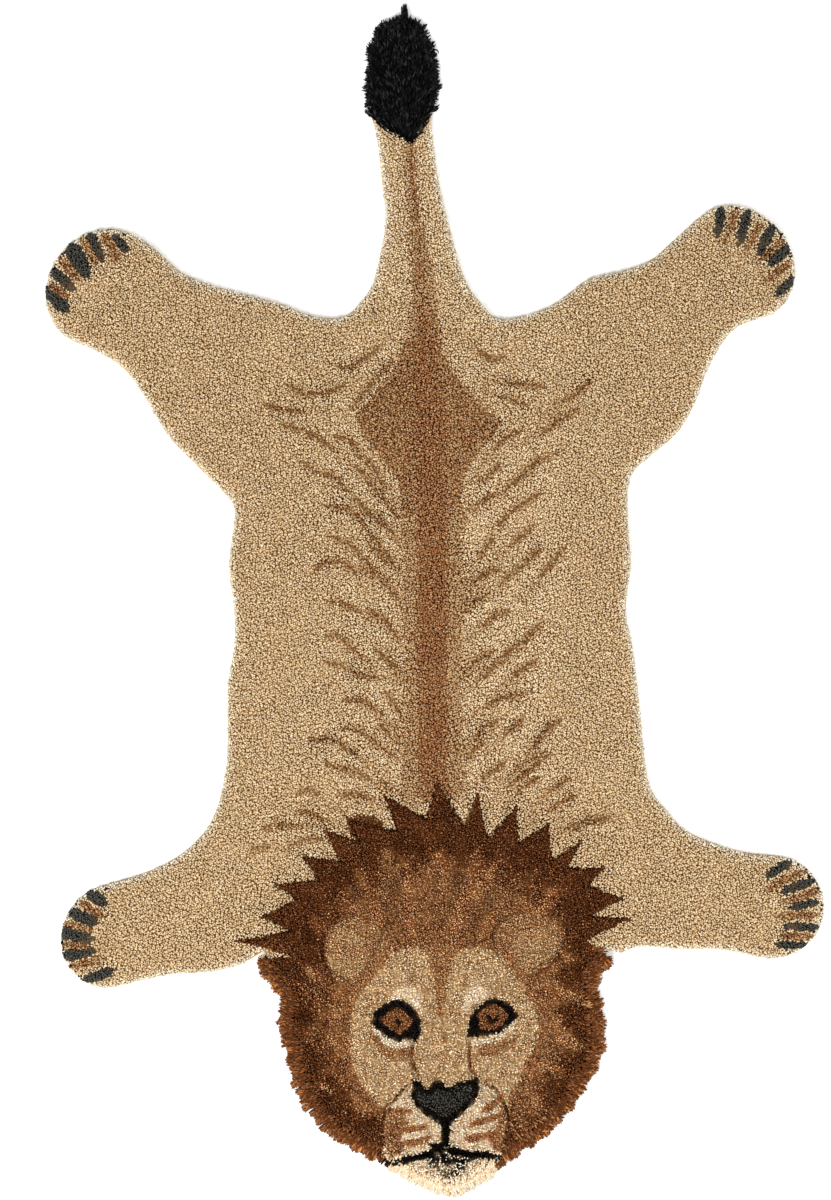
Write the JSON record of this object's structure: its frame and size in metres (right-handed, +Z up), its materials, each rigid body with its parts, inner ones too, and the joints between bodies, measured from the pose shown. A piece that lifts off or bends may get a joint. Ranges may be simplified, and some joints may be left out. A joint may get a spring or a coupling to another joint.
{
  "type": "lion shaped kids rug",
  "caption": "Hand-tufted wool pile rug for a child's room, cut in the shape of a lion's pelt lying flat, with a shag mane rim and tail tuft.",
  "frame": {"origin": "on the floor, under the middle of the rug's box", "axes": "+Z up out of the pile, +Y from the chin towards the tail, +X to the right of someone who looks down on the rug with its tail at the top"},
  "size_m": [0.5888, 0.9004, 0.0163],
  "materials": {
    "tan_wool": "cut wool pile, matt",
    "mane_wool": "long wool pile, matt",
    "cream_wool": "cut wool pile, matt",
    "black_wool": "long wool pile, matt"
  },
  "bodies": {
    "root": {"pelt_pile": "tan_wool", "mane_fringe_left": "mane_wool", "mane_fringe_right": "mane_wool", "chin_fringe": "cream_wool", "tail_tuft": "black_wool"}
  },
  "joints": []
}
